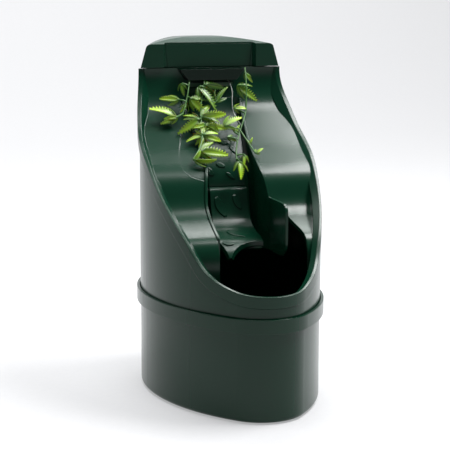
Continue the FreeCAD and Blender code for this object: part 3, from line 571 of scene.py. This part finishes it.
def stalk_routes(stems):
    """A short drooping stalk from the nearest place on a stem to each leaf."""
    places = []
    for stem in stems:
        for a, b in zip(stem, stem[1:]):
            places += [a.lerp(b, step / 8) for step in range(8)]
    routes = []
    for root, tip, _, _ in LEAVES:
        start = spot(*root)
        nearest = min(places, key=lambda place: (place - start).length)
        into = (spot(*tip) - start).normalized() * 0.0015
        if 0.0003 < (nearest - start).length:
            middle = nearest.lerp(start, 0.5) + Vector((0, -0.0006, 0.0004))
            routes.append([nearest, middle, start, start + into])
    return routes


# ---------------------------------------------------------------- embossed cascade leaves

# x, forward place of each embossed leaf's middle, its length, its width (mm) and its heading.
EMBOSSED = (
    (-5.2, 2.6, 13.0, 5.6, -66), (4.6, 1.8, 9.5, 4.2, -62), (-0.6, 16.5, 12.5, 5.4, -38),
    (-7.8, 25.0, 7.5, 3.8, -14), (-2.6, -6.4, 6.6, 3.4, -24), (-9.6, -4.6, 6.8, 4.4, -38),
    (2.2, -3.6, 7.5, 2.2, -36), (1.5, -15.5, 8.0, 3.8, -20), (6.5, -12.0, 7.5, 3.4, -62),
)


def embossed_leaf(work, surface, x, forward, length, width, heading):
    """A closed leaf laid on the cascade: a plateau with a soft edge, its underside sunk in."""
    across_count, along_count = 12, 26
    relief, sink, underside = 0.6 * MM, 0.35 * MM, 0.8 * MM
    aim = Vector((0, 1, -1)).normalized()
    rise = Vector((0, 1, 1)).normalized()
    turn = math.radians(heading)
    middle = spot(x, forward, 0)
    centre = surface.ray_cast(Vector((middle.x, middle.y, 0.3)), Vector((0, 0, -1)))[0]
    if centre is None:
        raise RuntimeError("an embossed leaf lies off the cascade")

    def place(along, across, bulge_half):
        side = (along * math.cos(turn) - across * math.sin(turn)) * MM
        up = (along * math.sin(turn) + across * math.cos(turn)) * MM
        origin = centre + Vector((side, 0, 0)) + rise * up - aim * 0.05
        found, normal, _, _ = surface.ray_cast(origin, aim)
        if found is None:
            found, normal = centre, -aim
        bulge = max(0.0, min(1.0, bulge_half / 0.5))
        bulge = bulge * bulge * (3 - 2 * bulge)
        return found, normal, bulge

    def pole(along):
        found, normal, _ = place(along, 0, 0)
        return work.verts.new(found - normal * sink)

    rings = []
    for i in range(1, along_count):
        t = i / along_count
        half = 0.5 * width * math.sin(math.pi * t ** 0.8) ** 0.75
        upper, lower = [], []
        for j in range(-across_count, across_count + 1):
            s = j / across_count
            edge = min(1 - abs(s), min(t, 1 - t) * 4)
            found, normal, bulge = place((t - 0.5) * length, s * half, edge * half)
            upper.append(work.verts.new(found + normal * (bulge * (relief + sink) - sink)))
            if abs(j) < across_count:
                lower.append(work.verts.new(found - normal * (sink + underside * (1 - s * s))))
        rings.append(upper + lower[::-1])
    for a, b in zip(rings, rings[1:]):
        for k in range(len(a)):
            after = (k + 1) % len(a)
            work.faces.new((a[k], a[after], b[after], b[k]))
    for ring, tip in ((rings[0], pole(-0.5 * length)), (rings[-1], pole(0.5 * length))):
        for k in range(len(ring)):
            work.faces.new((ring[k], ring[(k + 1) % len(ring)], tip))


# ---------------------------------------------------------------- operators


class WATERFALL_OT_shells(bpy.types.Operator):
    """Give the tub, housing, face, channel, cascade, cap and spout their glossy green plastic, the
    spout's darkened as painted shade
    """
    bl_idname = "waterfall.shells"
    bl_label = "Green shells"

    def execute(self, context):
        green = glossy_green()
        assign(green, "base_tub", "upper_housing", "face_panel", "channel_insert",
               "upper_cascade", "lower_cascade", "top_cap", "visor_plate")
        # The spout's green at a third of its strength is painted shade for the dark under the
        # cap's overhang.
        assign(glossy_green("outlet_painted_shade", 0.3), "outlet_spout")
        return {"FINISHED"}


class WATERFALL_OT_works(bpy.types.Operator):
    """Finish the pump, its tube, its sponge and the rubber parts"""
    bl_idname = "waterfall.works"
    bl_label = "Pump and rubber parts"

    def execute(self, context):
        black = satin("pump_plastic", (0.012, 0.013, 0.015), (0.02, 0.021, 0.024), 0.38)
        rubber = satin("soft_rubber", (0.010, 0.010, 0.010), (0.018, 0.018, 0.019), 0.7, 1500.0)
        assign(black, "pump_body", "pump_cover", "pump_nozzle", "flow_dial")
        assign(rubber, "foot_front", "foot_back", "foot_left", "foot_right", "cable_grommet",
               *(f"suction_cup_{row}_{side}" for row in ("front", "back")
                 for side in ("left", "right")))
        assign(satin("rotor_plastic", (0.16, 0.16, 0.17), (0.2, 0.2, 0.21), 0.35), "impeller")
        assign(satin("shaft_ceramic", (0.78, 0.77, 0.73), (0.86, 0.85, 0.82), 0.2),
               "impeller_shaft")
        assign(clear_tube(), "riser_tube")
        assign(foam(), "pump_sponge")
        assign(satin("clip_plastic", (0.01, 0.05, 0.02), (0.015, 0.07, 0.03), 0.35), "plant_clip")
        return {"FINISHED"}


class WATERFALL_OT_emboss(bpy.types.Operator):
    """Raise the moulded leaf shapes on both cascade plates"""
    bl_idname = "waterfall.emboss"
    bl_label = "Embossed leaves"

    def execute(self, context):
        surface = node_surface("upper_cascade", "lower_cascade")
        work = bmesh.new()
        for leaf in EMBOSSED:
            embossed_leaf(work, surface, *leaf)
        relief = mesh_piece("cascade_relief", work, bpy.data.materials["glossy_green"])
        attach(relief, "housing")
        return {"FINISHED"}


class WATERFALL_OT_vine(bpy.types.Operator):
    """Grow the artificial vine: toothed leaves, stems, stalks and the thin wire"""
    bl_idname = "waterfall.vine"
    bl_label = "Vine"

    def execute(self, context):
        settings = context.scene.waterfall_vine
        leaf = bpy.data.objects.new("leaf", leaf_mesh(settings.leaf_width, settings.leaf_teeth))
        cloud = bpy.data.objects.new("leaf_points", leaf_cloud())
        for item in (leaf, cloud):
            context.scene.collection.objects.link(item)
        run_tree(cloud, scatter_tree(), leaf=leaf, leaf_scale=1.0, unevenness=0.12,
                 seed=settings.seed, material=leaf_plastic())
        leaves = made_solid(cloud, "vine_leaves")
        bpy.data.objects.remove(leaf)
        stems = [[spot(*place) for place in route] for route in STEMS]
        strand = cable_tree()
        stem_green = satin("stem_plastic", (0.012, 0.07, 0.008), (0.05, 0.17, 0.015), 0.35)
        curves = smooth_curves("stem_routes", stems + stalk_routes(stems))
        run_tree(curves, strand, radius=settings.stem_radius, sides=8, steps=40,
                 material=stem_green)
        vine = made_solid(curves, "vine_stems")
        wire_route = smooth_curves("wire_route", [[spot(*place) for place in WIRE]])
        run_tree(wire_route, strand, radius=WIRE_RADIUS, sides=8, steps=48,
                 material=satin("wire_sleeve", (0.07, 0.09, 0.075), (0.14, 0.16, 0.14), 0.25))
        wire = made_solid(wire_route, "vine_wire")
        for piece, slot in ((leaves, "leaf_green"), (vine, "stem_green"), (wire, "stem_green")):
            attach(piece, "housing")
        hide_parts("vine_leaves_left", "vine_leaves_middle", "vine_leaves_right")
        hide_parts("vine_stem_left", "vine_stem_middle", "vine_stem_right")
        return {"FINISHED"}


class WATERFALL_OT_stage(bpy.types.Operator):
    """Set up the pale floor, the soft lights and the camera"""
    bl_idname = "waterfall.stage"
    bl_label = "Studio"

    def execute(self, context):
        make_floor()
        make_lights()
        make_camera(context.scene)
        return {"FINISHED"}


# ---------------------------------------------------------------- studio

# Each soft box: name, where it hangs, what it faces, its width and height, and its power.
MIDDLE = (0, 0, 0.1)
SOFT_BOXES = (
    ("key_box", (0.44, -0.06, 0.85), (0.1, 0.0, 0.1), 0.5, 0.3, 12.0),
    ("fill_box", (-0.1, -0.08, 0.9), MIDDLE, 0.5, 0.32, 4.5),
    ("rear_box", (0.1, 0.42, 0.85), MIDDLE, 0.9, 0.24, 5.0),
    ("left_box", (-1.2, 0.5, 0.5), MIDDLE, 0.6, 1.0, 1.8),
    ("right_box", (1.2, 0.35, 0.5), MIDDLE, 0.6, 1.0, 0.3),
    ("background_box", (0.0, 1.2, 1.6), (0, 1.8, 0.2), 2.2, 0.8, 40),
)
SURROUND_STRENGTH = 0.10
# The paper gives off a little light itself, which keeps the shadow on it weak.
PAPER_GLOW = 0.38
SWEEP_STEPS = 12
SENSOR_WIDTH = 36


def make_floor():
    """A pale sweep: floor in front, curving up far behind."""
    half_width, front, back, height, radius = 6.0, -6.0, 2.2, 3.4, 1.2
    profile = [(front, 0.0)]
    profile += [(back - radius + radius * math.sin(a), radius - radius * math.cos(a))
                for a in (math.radians(step * 90 / SWEEP_STEPS)
                          for step in range(SWEEP_STEPS + 1))]
    profile.append((back, height))
    work = bmesh.new()
    rows = [[work.verts.new((x, y, z)) for x in (-half_width, half_width)] for y, z in profile]
    for low, high in zip(rows, rows[1:]):
        work.faces.new((low[0], low[1], high[1], high[0]))
    material, tree, shader = new_material("studio_paper")
    grain = group_node(tree, "Fine speckle", scale=300.0, amount=0.7)
    two_tone(tree, grain.outputs["Mask"], (0.31, 0.312, 0.318, 1), (0.30, 0.302, 0.308, 1), shader)
    shader.inputs["Roughness"].default_value = 0.9
    shader.inputs["Emission Color"].default_value = (0.98, 0.985, 1.0, 1)
    shader.inputs["Emission Strength"].default_value = PAPER_GLOW
    mesh_piece("studio_sweep", work, material)


def soft_light(name, place, target, width, height, power):
    """A rectangular soft box, in metres and watts, aimed at a place."""
    light = bpy.data.lights.new(name, "AREA")
    light.shape = "RECTANGLE"
    light.size, light.size_y = width, height
    light.energy = power
    lamp = bpy.data.objects.new(name, light)
    lamp.location = place
    lamp.rotation_euler = (Vector(target) - Vector(place)).to_track_quat("-Z", "Y").to_euler()
    bpy.context.scene.collection.objects.link(lamp)


def make_lights():
    """The soft boxes and a faint, slightly cool surround."""
    for box in SOFT_BOXES:
        soft_light(*box)
    world = bpy.context.scene.world or bpy.data.worlds.new("studio")
    bpy.context.scene.world = world
    world.use_nodes = True
    back = world.node_tree.nodes["Background"]
    back.inputs["Color"].default_value = (0.93, 0.95, 1.0, 1)
    back.inputs["Strength"].default_value = SURROUND_STRENGTH


def make_camera(scene):
    """The camera of the main view, from the stage settings."""
    settings = scene.waterfall_stage
    data = bpy.data.cameras.new("camera")
    data.lens = settings.lens
    data.sensor_width = SENSOR_WIDTH
    camera = bpy.data.objects.new("camera", data)
    place, target = Vector(settings.camera_place), Vector(settings.camera_target)
    view = (target - place).to_track_quat("-Z", "Y").to_matrix()
    roll = Matrix.Rotation(settings.camera_roll, 3, "Z")
    camera.matrix_world = Matrix.Translation(place) @ (view @ roll).to_4x4()
    scene.collection.objects.link(camera)
    scene.camera = camera
    scene.view_settings.view_transform = "Standard"


# ---------------------------------------------------------------- panel and registration


class WATERFALL_PT_panel(bpy.types.Panel):
    """The waterfall's sizes, colours and build steps"""
    bl_label = "Terrarium waterfall"
    bl_idname = "WATERFALL_PT_panel"
    bl_space_type = "VIEW_3D"
    bl_region_type = "UI"
    bl_category = "Waterfall"

    def draw(self, context):
        layout = self.layout
        for title, settings in (("Plastic", context.scene.waterfall_plastic),
                                ("Vine", context.scene.waterfall_vine),
                                ("Stage", context.scene.waterfall_stage)):
            column = layout.column()
            column.label(text=title)
            for name in settings.__annotations__:
                column.prop(settings, name)
        for step in STEPS:
            layout.operator(step.bl_idname)


STEPS = (WATERFALL_OT_shells, WATERFALL_OT_works, WATERFALL_OT_emboss, WATERFALL_OT_vine,
         WATERFALL_OT_stage)
SETTINGS = {"waterfall_plastic": WaterfallPlastic, "waterfall_vine": WaterfallVine,
            "waterfall_stage": WaterfallStage}


def register():
    for group in SETTINGS.values():
        bpy.utils.register_class(group)
    for name, group in SETTINGS.items():
        setattr(bpy.types.Scene, name, PointerProperty(type=group))
    for item in STEPS + (WATERFALL_PT_panel,):
        bpy.utils.register_class(item)


def unregister():
    for item in (WATERFALL_PT_panel,) + STEPS:
        bpy.utils.unregister_class(item)
    for name, group in SETTINGS.items():
        delattr(bpy.types.Scene, name)
        bpy.utils.unregister_class(group)


def main():
    register()
    for step in STEPS:
        area, name = step.bl_idname.split(".")
        getattr(getattr(bpy.ops, area), name)()


if __name__ == "__main__":
    main()
